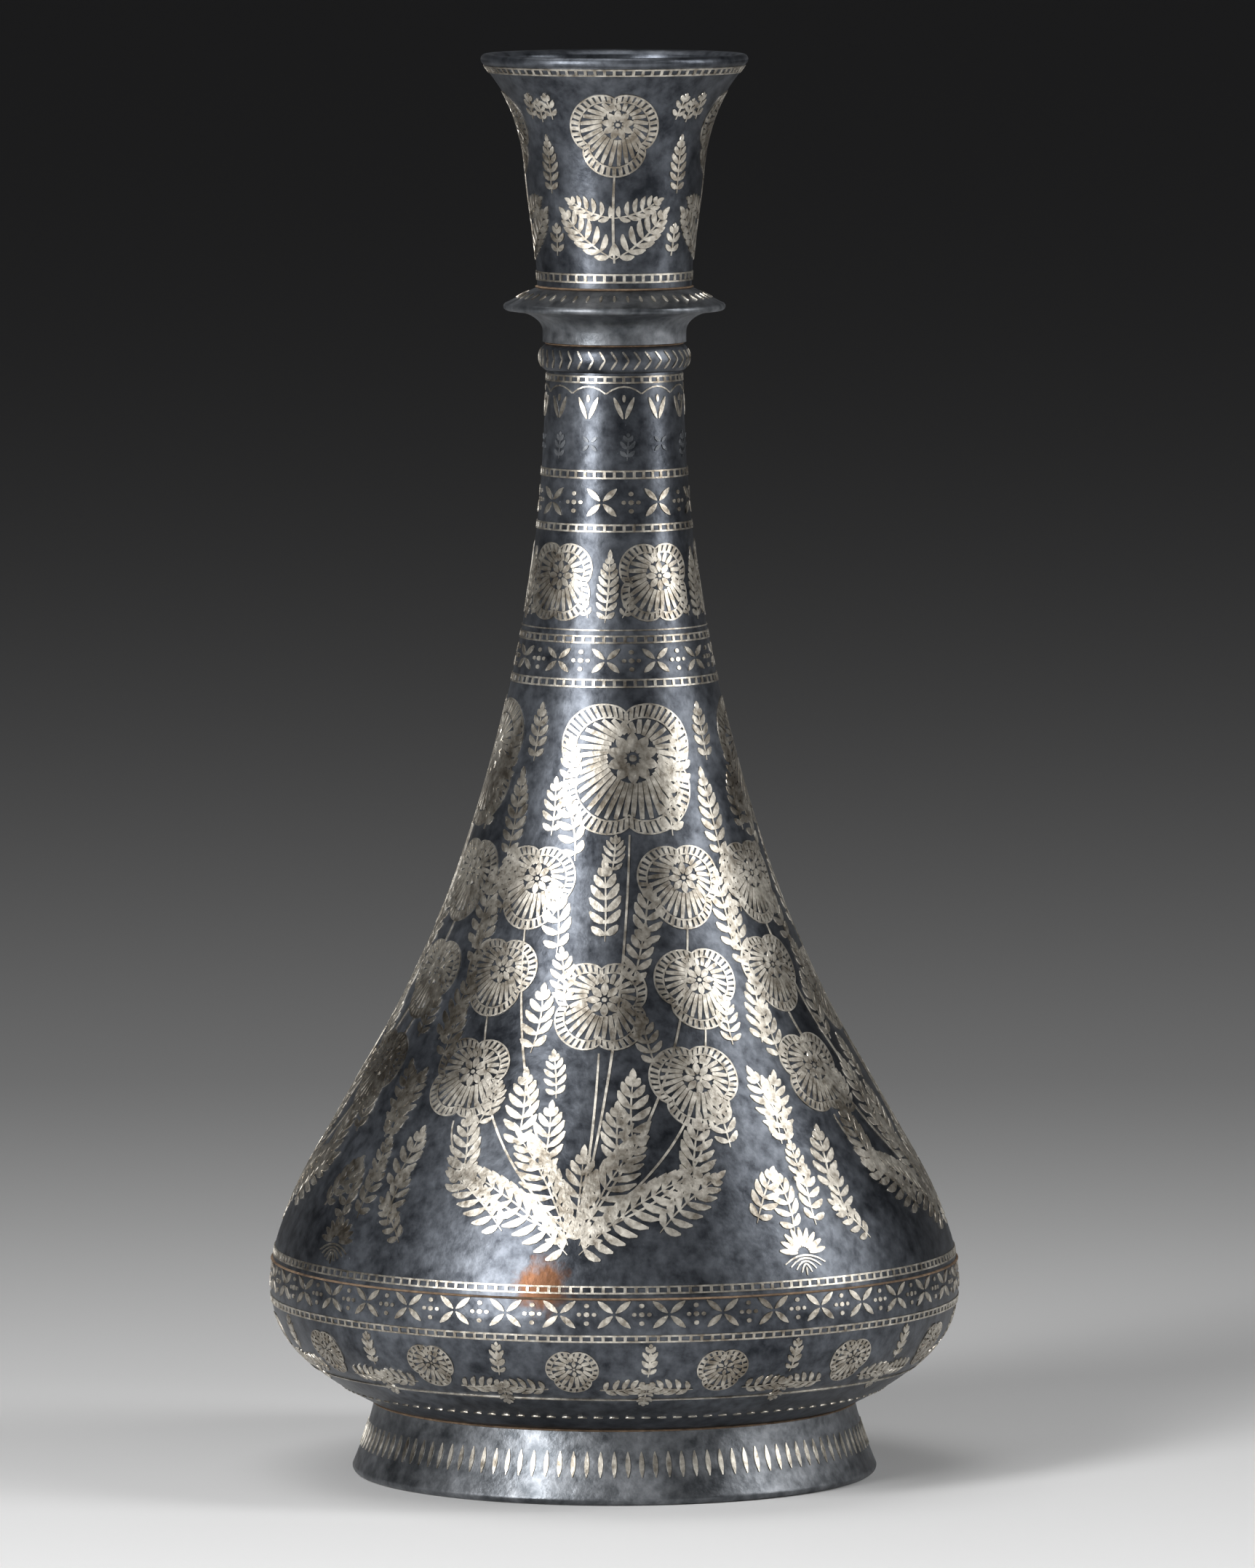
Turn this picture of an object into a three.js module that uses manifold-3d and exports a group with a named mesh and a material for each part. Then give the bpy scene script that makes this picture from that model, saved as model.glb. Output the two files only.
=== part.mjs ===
// A bidri bottle vase in millimetres, +Z up, standing on z = 0 with its axis on the Z axis.
// Five blackened zinc castings are soldered one on another: foot ring, bowl, shoulder with
// neck, collar and mouth cup. Silver ladder bands lie in turned grooves round them, and
// silver sheet flowers lie in pockets cut to their outline. The front faces -Y.
import * as THREE from "three";
import { mergeVertices } from "three/addons/utils/BufferGeometryUtils.js";
import Module from "manifold-3d";

const wasm = await Module();
wasm.setup();

// Foot ring: a flaring ring, open below
const footHeight = 12;
const footToeRadius = 44.9;
const footTopRadius = 40.8;
const footWall = 3.4;
const footToeRound = 1.1;
const footFlare = 1.25; // power of the flare: 1 is a straight cone

// Bowl: the lower half of the belly, closed below
const bowlSeatRadius = 41;
const bellyRadius = 58.3;
const bellyHeight = 33; // height of the widest place
const bowlFullness = 2.5; // power of the curve from seat to widest place
const bellyWall = 3;
const bowlBossDepth = 1.2; // the boss below the bowl that centres the foot ring
const bellySeamHeight = 36.2;

// Shoulder and neck, one casting, with the rope-moulded ring at its top
const neckRadius = 11.4;
const neckWall = 2.4;
const neckTopHeight = 186.8;
const ropeRingHeight = 4.4;
const ropeRingBulge = 1.3;
// Shares of the way up from the belly to the neck, and of the way in: the shoulder's curve
const shoulderCurve = [
  [0, 1],
  [0.032, 0.986],
  [0.091, 0.918],
  [0.19, 0.742],
  [0.32, 0.505],
  [0.45, 0.324],
  [0.606, 0.171],
  [0.737, 0.079],
  [0.867, 0.024],
  [1, 0],
];

// Collar: a flange on a hollow-moulded stem
const collarStemRadius = 12.1;
const collarStemHeight = 1.8;
const collarFlangeRadius = 18.7;
const collarFlangeEdge = 1.3;
const collarHollowHeight = 3.5; // the concave moulding under the flange
const collarTopRise = 2.5; // the sloping top of the flange
const collarShelfRadius = 13.4;

// Mouth cup: a flaring beaker with a rounded lip
const cupFootRadius = 13.0;
const cupHeight = 38.9;
const cupWall = 2.1;
const lipRadius = 22.5;
const lipHeight = 1.8;
// Shares of the way up the cup below the lip, and of the way out: the cup's flare
const cupCurve = [
  [0, 0],
  [0.1, 0.02],
  [0.26, 0.09],
  [0.42, 0.18],
  [0.6, 0.26],
  [0.74, 0.4],
  [0.86, 0.61],
  [1, 1],
];

// Solder, spigots and fits
const solderThickness = 0.4;
const solderBead = 0.35; // how far the bead stands out of the joint
const spigotHeight = 2.6;
const spigotWall = 1.3;
const fitGap = 0.1; // between a spigot and its socket, and round every inlay

// Silver inlay
const bandDepth = 0.5;
const sheetThickness = 0.5;
const pocketReach = 3; // how far a cutter stands clear of the skin it cuts
// Each ladder: height of its lower edge, and its width
const lipLadder = { low: 236.9, width: 1.3 };
const cupLadder = { low: 202, width: 1.6 };
const ropeLadder = { low: 185.1, width: 1.3 };
const upperStarLadder = { low: 169.1, width: 1.5 };
const lowerStarLadder = { low: 160.2, width: 1.4 };
const upperCrossLadder = { low: 141.7, width: 1.4 };
const lowerCrossLadder = { low: 134.4, width: 1.5 };
const bellyUpperLadder = { low: 37.2, width: 1.4 };
const bellyLowerLadder = { low: 29.2, width: 1.3 };

// Each ring of flowers: height of its centre, radius, number, angle of the first from the
// front in degrees, lobes and outline points
const cupFlower = { height: 227.4, radius: 7.2, count: 4, first: 0, lobes: 3, points: 12 };
const neckFlower = { height: 151.6, radius: 6.6, count: 5, first: 31, lobes: 4, points: 12 };
const crownFlower = { height: 119.4, radius: 11.4, count: 4, first: 5, lobes: 4, points: 12 };
const pairLeftFlower = { height: 101.8, radius: 7, count: 4, first: -30, lobes: 3, points: 12 };
const pairRightFlower = { height: 102.2, radius: 7, count: 4, first: 25, lobes: 3, points: 12 };
const lobeDepth = 0.1; // share of a flower's radius that its notches take

const turnedSides = 20;
const profileStep = 9; // spacing of outline points up the long curves
const liningStep = 16; // spacing of points up the lining of the shoulder and neck
const arcSteps = 3; // straight pieces in a small moulding

const blackenedZinc = { color: 0x2c2f35, roughness: 0.45, metalness: 0.8 };
const silver = { color: 0xb9b2a4, roughness: 0.35, metalness: 1 };
const solderMetal = { color: 0x5e4c3c, roughness: 0.7, metalness: 0.6 };

// Heights of the joints, from the foot up
const bowlSeatHeight = footHeight + solderThickness;
const shoulderStart = bellySeamHeight + solderThickness;
const neckEnd = neckTopHeight + ropeRingHeight;
const collarStart = neckEnd + solderThickness;
const flangeUnder = collarStart + collarStemHeight + collarHollowHeight;
const flangeUpper = flangeUnder + collarFlangeEdge;
const collarEnd = flangeUpper + collarTopRise;
const cupStart = collarEnd + solderThickness;
const cupEnd = cupStart + cupHeight;
const lipStart = cupEnd - lipHeight;
const boreRadius = neckRadius - neckWall;
const spigotRadius = boreRadius + spigotWall;

// A smooth monotone curve through stations [x, y]: cubic pieces with harmonic mean slopes
function smoothThrough(stations) {
  const count = stations.length;
  const widths = stations.slice(1).map((s, i) => s[0] - stations[i][0]);
  const slopes = stations.slice(1).map((s, i) => (s[1] - stations[i][1]) / widths[i]);
  const tangents = stations.map((s, i) => {
    if (i === 0) return slopes[0];
    if (i === count - 1) return slopes[count - 2];
    const before = slopes[i - 1];
    const after = slopes[i];
    return before * after > 0 ? (2 * before * after) / (before + after) : 0;
  });
  return (x) => {
    let i = 0;
    while (i < count - 2 && x > stations[i + 1][0]) i += 1;
    const t = THREE.MathUtils.clamp((x - stations[i][0]) / widths[i], 0, 1);
    const start = stations[i][1];
    const end = stations[i + 1][1];
    const startPull = tangents[i] * widths[i];
    const endPull = tangents[i + 1] * widths[i];
    return (
      start * (1 + 2 * t) * (1 - t) ** 2 +
      end * t * t * (3 - 2 * t) +
      startPull * t * (1 - t) ** 2 -
      endPull * t * t * (1 - t)
    );
  };
}

const shoulderShare = smoothThrough(shoulderCurve);
const cupShare = smoothThrough(cupCurve);
const cupFlareRadius = lipRadius - 0.5;

// Outside radius of the foot, the belly with the neck, and the cup below its lip
function footRadiusAt(z) {
  const share = 1 - Math.min(z / footHeight, 1);
  return footTopRadius + (footToeRadius - footTopRadius) * share ** footFlare;
}

function bodyRadiusAt(z) {
  if (z <= bellyHeight) {
    const share = (z - bowlSeatHeight) / (bellyHeight - bowlSeatHeight);
    return bellyRadius - (bellyRadius - bowlSeatRadius) * (1 - share) ** bowlFullness;
  }
  const share = (z - bellyHeight) / (neckTopHeight - bellyHeight);
  return neckRadius + (bellyRadius - neckRadius) * shoulderShare(share);
}

function cupRadiusAt(z) {
  const share = (z - cupStart) / (lipStart - cupStart);
  return cupFootRadius + (cupFlareRadius - cupFootRadius) * cupShare(share);
}

const point = (r, z) => new THREE.Vector2(r, z);

// Heights from low to high at about the given spacing, both ends included
function heights(low, high, spacing) {
  const steps = Math.max(1, Math.round((high - low) / spacing));
  return Array.from({ length: steps + 1 }, (_, i) => low + ((high - low) * i) / steps);
}

// The outside of a turned piece from low to high, with a groove for each ladder
function grooved(radiusAt, low, high, spacing, ladders) {
  const outline = [];
  let start = low;
  for (const ladder of [...ladders].sort((a, b) => a.low - b.low)) {
    const bottom = ladder.low - fitGap;
    const top = ladder.low + ladder.width + fitGap;
    for (const z of heights(start, bottom, spacing)) outline.push(point(radiusAt(z), z));
    outline.push(point(radiusAt(bottom) - bandDepth - fitGap, bottom));
    outline.push(point(radiusAt(top) - bandDepth - fitGap, top));
    start = top;
  }
  for (const z of heights(start, high, spacing)) outline.push(point(radiusAt(z), z));
  return outline;
}

// An open outline moved inwards by a wall, square to itself
function inset(outline, wall) {
  return outline.map((p, i) => {
    const before = outline[Math.max(i - 1, 0)];
    const after = outline[Math.min(i + 1, outline.length - 1)];
    const along = after.clone().sub(before).normalize();
    return point(p.x - wall * along.y, p.y + wall * along.x);
  });
}

// Points of a quarter turn from one point to another, round the corner between them
function quarterTurn(from, to, corner) {
  return Array.from({ length: arcSteps + 1 }, (_, i) => {
    const turn = (i / arcSteps) * (Math.PI / 2);
    const towards = corner.clone();
    return towards
      .addScaledVector(from.clone().sub(corner), 1 - Math.sin(turn))
      .addScaledVector(to.clone().sub(corner), 1 - Math.cos(turn));
  });
}

// A turned geometry about the Z axis from a closed outline that runs anticlockwise
function turned(outline) {
  const closed = [...outline, outline[0].clone()];
  const geometry = new THREE.LatheGeometry(closed, turnedSides);
  return geometry.rotateX(Math.PI / 2);
}

function solidOf(geometry) {
  const bare = geometry.clone();
  bare.deleteAttribute("normal");
  bare.deleteAttribute("uv");
  const merged = mergeVertices(bare, 1e-4);
  return new wasm.Manifold(
    new wasm.Mesh({
      numProp: 3,
      vertProperties: new Float32Array(merged.attributes.position.array),
      triVerts: new Uint32Array(merged.index.array),
    }),
  );
}

function geometryOf(solid) {
  const mesh = solid.getMesh();
  const geometry = new THREE.BufferGeometry();
  geometry.setAttribute("position", new THREE.BufferAttribute(mesh.vertProperties, 3));
  geometry.setIndex(new THREE.BufferAttribute(mesh.triVerts, 1));
  return geometry;
}

const vase = new THREE.Group();

function add(name, geometry, finish) {
  const mesh = new THREE.Mesh(geometry, new THREE.MeshStandardMaterial(finish));
  mesh.name = name;
  geometry.computeVertexNormals();
  vase.add(mesh);
}

// A flower's outline: a circle drawn in at the notches between its lobes
function flowerShape(flower, grow) {
  const corners = Array.from({ length: flower.points }, (_, i) => {
    const turn = (i / flower.points) * 2 * Math.PI;
    const notch = lobeDepth * (0.5 + 0.5 * Math.cos(flower.lobes * turn));
    const radius = flower.radius * (1 - notch) + grow;
    return point(radius * Math.cos(turn + Math.PI / 2), radius * Math.sin(turn + Math.PI / 2));
  });
  return new THREE.Shape(corners);
}

// A prism of the flower's outline, pointing out of the vase at the flower's place
function flowerPrism(flower, radiusAt, angle, grow) {
  const outward = radiusAt(flower.height) + pocketReach;
  const geometry = new THREE.ExtrudeGeometry(flowerShape(flower, grow), {
    depth: outward,
    bevelEnabled: false,
  });
  geometry.rotateX(Math.PI / 2);
  geometry.translate(0, 0, flower.height);
  geometry.rotateZ(angle);
  return solidOf(geometry);
}

// A turned skin that follows the outside of the vase, between two offsets from it
function skin(flower, radiusAt, inner, outer) {
  const reach = flower.radius + pocketReach;
  const levels = heights(flower.height - reach, flower.height + reach, reach);
  const outside = levels.map((z) => point(radiusAt(z) + outer, z));
  const inside = levels.map((z) => point(radiusAt(z) + inner, z)).reverse();
  return solidOf(turned([...outside, ...inside]));
}

// Cuts a ring of flower pockets in a casting and adds the silver flowers that lie in them
function inlayFlowers(casting, name, flower, radiusAt) {
  const sheet = skin(flower, radiusAt, -sheetThickness, 0);
  const cut = skin(flower, radiusAt, -sheetThickness - fitGap, pocketReach);
  let left = casting;
  for (let i = 0; i < flower.count; i += 1) {
    const turn = THREE.MathUtils.degToRad(flower.first) + (i / flower.count) * 2 * Math.PI;
    const pocket = cut.intersect(flowerPrism(flower, radiusAt, turn, fitGap));
    left = left.subtract(pocket);
    const plate = sheet.intersect(flowerPrism(flower, radiusAt, turn, 0));
    add(`${name}_${i + 1}`, geometryOf(plate), silver);
  }
  return left;
}

// A ladder band in its groove, flush with the casting
function addLadder(name, ladder, radiusAt) {
  const top = ladder.low + ladder.width;
  const outline = [
    point(radiusAt(ladder.low) - bandDepth, ladder.low),
    point(radiusAt(ladder.low), ladder.low),
    point(radiusAt(top), top),
    point(radiusAt(top) - bandDepth, top),
  ];
  add(name, turned(outline), silver);
}

// Foot ring, with a rounded toe and a bore that follows the flare
function addFoot() {
  const toe = quarterTurn(
    point(footToeRadius - footToeRound, 0),
    point(footRadiusAt(footToeRound), footToeRound),
    point(footToeRadius, 0),
  );
  const rise = heights(footToeRound, footHeight, profileStep / 2).slice(1);
  const outside = rise.map((z) => point(footRadiusAt(z), z));
  const inside = [footHeight, footToeRound, 0].map((z) => point(footRadiusAt(z) - footWall, z));
  add("foot_ring", turned([...toe, ...outside, ...inside]), blackenedZinc);
}

// A washer of solder between two pieces, with its bead standing out of the joint
function addSolder(name, z, inner, outer) {
  const outline = [
    point(inner, z),
    point(outer, z),
    point(outer + solderBead, z + solderThickness / 2),
    point(outer, z + solderThickness),
    point(inner, z + solderThickness),
  ];
  add(name, turned(outline), solderMetal);
}

// Bowl: closed below, with a centring boss under it and a lip that enters the shoulder
const seamRadius = bodyRadiusAt(bellySeamHeight);
const seamLip = seamRadius - bellyWall / 2;

function addBowl() {
  const ladders = [bellyLowerLadder];
  const step = profileStep / 2;
  const outside = grooved(bodyRadiusAt, bowlSeatHeight, bellySeamHeight, step, ladders);
  const plain = heights(bowlSeatHeight, bellySeamHeight, step);
  const lining = inset(plain.map((z) => point(bodyRadiusAt(z), z)), bellyWall);
  const floorHeight = bowlSeatHeight - bowlBossDepth + bellyWall;
  const inside = lining.filter((p) => p.y > floorHeight + solderThickness).reverse();
  inside[0] = point(seamRadius - bellyWall, bellySeamHeight);
  const bossRadius = footTopRadius - footWall - fitGap;
  const bossHeight = bowlSeatHeight - bowlBossDepth;
  const outline = [
    point(0, bossHeight),
    point(bossRadius, bossHeight),
    point(bossRadius, bowlSeatHeight),
    ...outside,
    point(seamLip, bellySeamHeight),
    point(seamLip, bellySeamHeight + spigotHeight),
    point(seamRadius - bellyWall, bellySeamHeight + spigotHeight),
    ...inside,
    point(inside[inside.length - 1].x - bellyWall / 2, floorHeight),
    point(0, floorHeight),
  ];
  const geometry = new THREE.LatheGeometry(outline, turnedSides).rotateX(Math.PI / 2);
  add("bowl", geometry, blackenedZinc);
}

// Shoulder and neck: the belly's upper part, drawn in to the neck, with the rope ring and
// the spigot that enters the collar
function addShoulder() {
  const ladders = [
    bellyUpperLadder,
    lowerCrossLadder,
    upperCrossLadder,
    lowerStarLadder,
    upperStarLadder,
    ropeLadder,
  ];
  const outside = grooved(bodyRadiusAt, shoulderStart, neckTopHeight, profileStep, ladders);
  const rope = heights(0, 1, 1 / (2 * arcSteps)).slice(1);
  const ropeRing = rope.map((t) =>
    point(neckRadius + ropeRingBulge * Math.sqrt(Math.sin(Math.PI * t)), neckTopHeight + ropeRingHeight * t),
  );
  ropeRing[ropeRing.length - 1].x = neckRadius;
  const plain = heights(bellySeamHeight + spigotHeight + bellyWall, neckTopHeight, liningStep);
  const share = (z) => (z - bellySeamHeight) / (neckTopHeight - bellySeamHeight);
  const lining = plain.map((z) => {
    const wall = THREE.MathUtils.lerp(bellyWall, neckWall, share(z));
    const slope = (bodyRadiusAt(z + 1) - bodyRadiusAt(z - 1)) / 2;
    return point(bodyRadiusAt(z) - wall * Math.hypot(1, slope), z);
  });
  const socket = seamLip + fitGap;
  const socketEnd = bellySeamHeight + spigotHeight + fitGap;
  const outline = [
    point(socket, shoulderStart),
    ...outside,
    ...ropeRing,
    point(spigotRadius, neckEnd),
    point(spigotRadius, neckEnd + spigotHeight),
    point(boreRadius, neckEnd + spigotHeight),
    ...lining.reverse(),
    point(bodyRadiusAt(socketEnd) - bellyWall, socketEnd),
    point(socket, socketEnd),
  ];
  let casting = solidOf(turned(outline));
  casting = inlayFlowers(casting, "neck_flower", neckFlower, bodyRadiusAt);
  casting = inlayFlowers(casting, "crown_flower", crownFlower, bodyRadiusAt);
  casting = inlayFlowers(casting, "pair_left_flower", pairLeftFlower, bodyRadiusAt);
  casting = inlayFlowers(casting, "pair_right_flower", pairRightFlower, bodyRadiusAt);
  add("shoulder_and_neck", geometryOf(casting), blackenedZinc);
}

// Collar: socket for the neck's spigot below, flange, and spigot for the cup above
function addCollar() {
  const stemTop = collarStart + collarStemHeight;
  const edgeRadius = collarFlangeRadius - collarFlangeEdge / 2;
  const hollow = quarterTurn(
    point(collarStemRadius, stemTop),
    point(edgeRadius, flangeUnder),
    point(collarStemRadius, flangeUnder),
  );
  const socket = spigotRadius + fitGap;
  const socketEnd = neckEnd + spigotHeight + fitGap;
  const outline = [
    point(socket, collarStart),
    point(collarStemRadius, collarStart),
    ...hollow,
    point(collarFlangeRadius, (flangeUnder + flangeUpper) / 2),
    point(edgeRadius, flangeUpper),
    point(collarShelfRadius, collarEnd),
    point(spigotRadius, collarEnd),
    point(spigotRadius, collarEnd + spigotHeight),
    point(boreRadius, collarEnd + spigotHeight),
    point(boreRadius, socketEnd),
    point(socket, socketEnd),
  ];
  add("collar", turned(outline), blackenedZinc);
}

// Mouth cup: a flaring beaker with a rounded lip, its wall seated on the collar
function addCup() {
  const ladders = [cupLadder, lipLadder];
  const outside = grooved(cupRadiusAt, cupStart, lipStart, profileStep / 2, ladders);
  const lipWidth = cupWall;
  const lip = [
    point(lipRadius - lipHeight / 8, lipStart + lipHeight / 4),
    point(lipRadius, lipStart + lipHeight / 2),
    point(lipRadius - lipHeight / 8, cupEnd - lipHeight / 4),
    point(lipRadius - lipHeight / 2, cupEnd),
    point(lipRadius - lipHeight / 2 - lipWidth / 2, cupEnd),
  ];
  const plain = heights(cupStart, lipStart, profileStep / 2);
  const lining = plain.map((z) => point(cupRadiusAt(z) - cupWall, z)).reverse();
  const outline = [...outside, ...lip, ...lining];
  let casting = solidOf(turned(outline));
  casting = inlayFlowers(casting, "cup_flower", cupFlower, cupRadiusAt);
  add("mouth_cup", geometryOf(casting), blackenedZinc);
}

addFoot();
addSolder("foot_solder", footHeight, footTopRadius - footWall, footTopRadius);
addBowl();
addSolder("belly_solder", bellySeamHeight, seamLip + fitGap, seamRadius);
addShoulder();
addSolder("neck_solder", neckEnd, spigotRadius + fitGap, neckRadius);
addCollar();
addSolder("cup_solder", collarEnd, spigotRadius + fitGap, cupFootRadius);
addCup();
addLadder("belly_lower_ladder", bellyLowerLadder, bodyRadiusAt);
addLadder("belly_upper_ladder", bellyUpperLadder, bodyRadiusAt);
addLadder("lower_cross_ladder", lowerCrossLadder, bodyRadiusAt);
addLadder("upper_cross_ladder", upperCrossLadder, bodyRadiusAt);
addLadder("lower_star_ladder", lowerStarLadder, bodyRadiusAt);
addLadder("upper_star_ladder", upperStarLadder, bodyRadiusAt);
addLadder("rope_ladder", ropeLadder, bodyRadiusAt);
addLadder("cup_ladder", cupLadder, cupRadiusAt);
addLadder("lip_ladder", lipLadder, cupRadiusAt);

export default vase;
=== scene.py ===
import math
import bmesh
import bpy
import numpy as np
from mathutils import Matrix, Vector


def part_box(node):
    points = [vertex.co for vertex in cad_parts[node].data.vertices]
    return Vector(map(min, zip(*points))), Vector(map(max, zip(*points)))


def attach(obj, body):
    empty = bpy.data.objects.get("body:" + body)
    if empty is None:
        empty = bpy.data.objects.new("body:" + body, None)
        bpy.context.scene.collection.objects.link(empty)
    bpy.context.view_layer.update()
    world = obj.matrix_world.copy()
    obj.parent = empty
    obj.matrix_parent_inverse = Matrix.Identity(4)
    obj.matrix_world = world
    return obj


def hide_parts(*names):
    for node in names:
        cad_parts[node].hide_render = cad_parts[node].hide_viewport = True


# A bidri bottle vase: five blackened zinc castings with raised silver inlay on them.
# Lengths are millimetres. Angles go round the vase in degrees from the front, positive to
# the right. Heights of joints and ladders come from the frame.

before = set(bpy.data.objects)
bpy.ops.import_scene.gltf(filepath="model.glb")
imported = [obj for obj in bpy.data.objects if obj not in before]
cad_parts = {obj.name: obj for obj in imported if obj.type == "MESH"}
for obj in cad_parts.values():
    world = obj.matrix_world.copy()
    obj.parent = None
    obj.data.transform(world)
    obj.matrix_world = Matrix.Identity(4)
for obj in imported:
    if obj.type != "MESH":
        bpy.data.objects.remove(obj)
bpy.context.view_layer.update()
metre = 0.001
print("frame loaded:", len(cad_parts), "nodes")


# Heights of a node's underside and of its top
def lowOf(name):
    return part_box(name)[0][2] / metre


def highOf(name):
    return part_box(name)[1][2] / metre


joints = {
    "footTop": highOf("foot_ring"), "bowlLow": highOf("foot_solder"),
    "seamLow": lowOf("belly_solder"), "seamHigh": highOf("belly_solder"),
    "neckEnd": lowOf("neck_solder"), "collarLow": highOf("neck_solder"),
    "collarTop": lowOf("cup_solder"), "cupLow": highOf("cup_solder"),
    "cupTop": highOf("mouth_cup"),
}
fits = {"spigotHeight": 2.6, "spigotWall": 1.3, "gap": 0.1}


# Monotone cubic through stations: between two stations a cubic whose end slopes are the
# harmonic means of the neighbouring slopes, so the curve never overshoots
def smoothCurve(stations, x):
    sx, sy = np.array(stations, float).T
    width = np.diff(sx)
    slope = np.diff(sy) / width
    product = slope[:-1] * slope[1:]
    total = slope[:-1] + slope[1:]
    inner = np.where(product > 0, 2 * product / np.where(total == 0, 1, total), 0)
    tangent = np.concatenate([slope[:1], inner, slope[-1:]])
    i = np.clip(np.searchsorted(sx, x, side="right") - 1, 0, len(width) - 1)
    t = np.clip((x - sx[i]) / width[i], 0, 1)
    return (
        sy[i] * (1 + 2 * t) * (1 - t) ** 2
        + sy[i + 1] * t * t * (3 - 2 * t)
        + tangent[i] * width[i] * t * (1 - t) ** 2
        - tangent[i + 1] * width[i] * t * t * (1 - t)
    )


# Foot: the top radius plus a power of the share of the way down
footShape = {"toeRadius": 44.9, "topRadius": 40.8, "flare": 1.25, "wall": 3.4, "toeRound": 1.1}


def footRadius(z):
    share = 1 - np.clip(z / joints["footTop"], 0, 1)
    spread = footShape["toeRadius"] - footShape["topRadius"]
    return footShape["topRadius"] + spread * share ** footShape["flare"]


# Belly, neck and rope ring: a power curve below the widest place, the smooth shoulder curve
# above it, and the square root of a sine for the rope ring's bulge
bodyShape = {
    "seatRadius": 41.0, "fullness": 2.5, "bellyRadius": 58.25, "bellyHeight": 33.0,
    "wall": 3.0, "bossDepth": 1.2, "neckRadius": 11.4, "neckWall": 2.6, "boreRadius": 9.0,
    "ropeHeight": 4.4, "ropeBulge": 1.3, "thinWallFrom": 90,
    # share of the height above the widest place, share of the radius over the neck's
    "shoulder": [[0, 1], [0.032, 0.986], [0.091, 0.918], [0.19, 0.742], [0.32, 0.505],
                 [0.45, 0.324], [0.606, 0.171], [0.737, 0.079], [0.867, 0.024], [1, 0]],
}
ropeLow = joints["neckEnd"] - bodyShape["ropeHeight"]


def bodyRadius(z):
    z = np.asarray(z, float)
    belly = bodyShape["bellyRadius"]
    widest = bodyShape["bellyHeight"]
    low = np.clip((z - joints["bowlLow"]) / (widest - joints["bowlLow"]), 0, 1)
    lower = belly - (belly - bodyShape["seatRadius"]) * (1 - low) ** bodyShape["fullness"]
    share = np.clip((z - widest) / (ropeLow - widest), 0, 1)
    drawnIn = smoothCurve(bodyShape["shoulder"], share)
    upper = bodyShape["neckRadius"] + (belly - bodyShape["neckRadius"]) * drawnIn
    ring = np.clip((z - ropeLow) / (joints["neckEnd"] - ropeLow), 0, 1)
    bulge = bodyShape["ropeBulge"] * np.sqrt(np.clip(np.sin(math.pi * ring), 0, 1))
    return np.where(z < widest, lower, upper + bulge)


# Top of the collar's flange: a straight slope from its edge in to the shelf
collarShape = {
    "flangeRadius": 18.7, "flangeEdge": 1.3, "topRise": 2.5, "shelfRadius": 13.4, "shelfEase": 0.1,
    "stemRadius": 12.1, "stemHeight": 1.8,
}
flangeHigh = joints["collarTop"] - collarShape["topRise"]
flangeLow = flangeHigh - collarShape["flangeEdge"]
flangeRim = collarShape["flangeRadius"] - collarShape["flangeEdge"] / 2


def flangeRadius(z):
    share = np.clip((np.asarray(z, float) - flangeHigh) / collarShape["topRise"], 0, 1)
    return flangeRim + (collarShape["shelfRadius"] - flangeRim) * share


# Cup: the smooth flare curve between its foot and the lip
cupShape = {
    "footRadius": 13.0, "flareRadius": 22.0, "wall": 2.1, "lipRadius": 22.5, "lipHeight": 1.8,
    "lipRound": 0.9, "rimIn": [(2.0, 0.15), (2.6, 0.8)],  # in from the lip, down from the top
    "flare": [[0, 0], [0.1, 0.02], [0.26, 0.09], [0.42, 0.18], [0.6, 0.26], [0.74, 0.4],
              [0.86, 0.61], [1, 1]],
}
lipLow = joints["cupTop"] - cupShape["lipHeight"]


def cupRadius(z):
    share = np.clip((np.asarray(z, float) - joints["cupLow"]) / (lipLow - joints["cupLow"]), 0, 1)
    opening = cupShape["flareRadius"] - cupShape["footRadius"]
    return cupShape["footRadius"] + opening * smoothCurve(cupShape["flare"], share)


# A surface to lay ornament on: a table of height, radius, slope and length up the meridian
def surfaceTable(radiusAt, low, high, samples=3000):
    z = np.linspace(low, high, samples)
    r = radiusAt(z)
    s = np.concatenate([[0], np.cumsum(np.hypot(np.diff(z), np.diff(r)))])
    return {"z": z, "r": r, "s": s, "slope": np.gradient(r, z)}


surfaceEase = {"foot": 0.5, "rope": 0.15}  # how far a table stops short of a sharp edge
footSurface = surfaceTable(footRadius, surfaceEase["foot"], joints["footTop"])
bodySurface = surfaceTable(bodyRadius, joints["bowlLow"], joints["neckEnd"] - surfaceEase["rope"])
cupSurface = surfaceTable(cupRadius, joints["cupLow"], lipLow)
flangeSurface = surfaceTable(flangeRadius, flangeHigh, joints["collarTop"])


# A point at the angle plus u over the radius, v along the meridian from the given height,
# and h out along the surface's normal
def onSurface(surface, angle, height, u, v, h):
    s = np.interp(height, surface["z"], surface["s"]) + v
    z = np.interp(s, surface["s"], surface["z"])
    r = np.interp(z, surface["z"], surface["r"])
    slope = np.interp(z, surface["z"], surface["slope"])
    theta = np.radians(angle) + u / r
    long = np.hypot(1, slope)
    out = r + h / long
    return np.stack([out * np.sin(theta), -out * np.cos(theta), z - h * slope / long], -1) * metre


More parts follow.
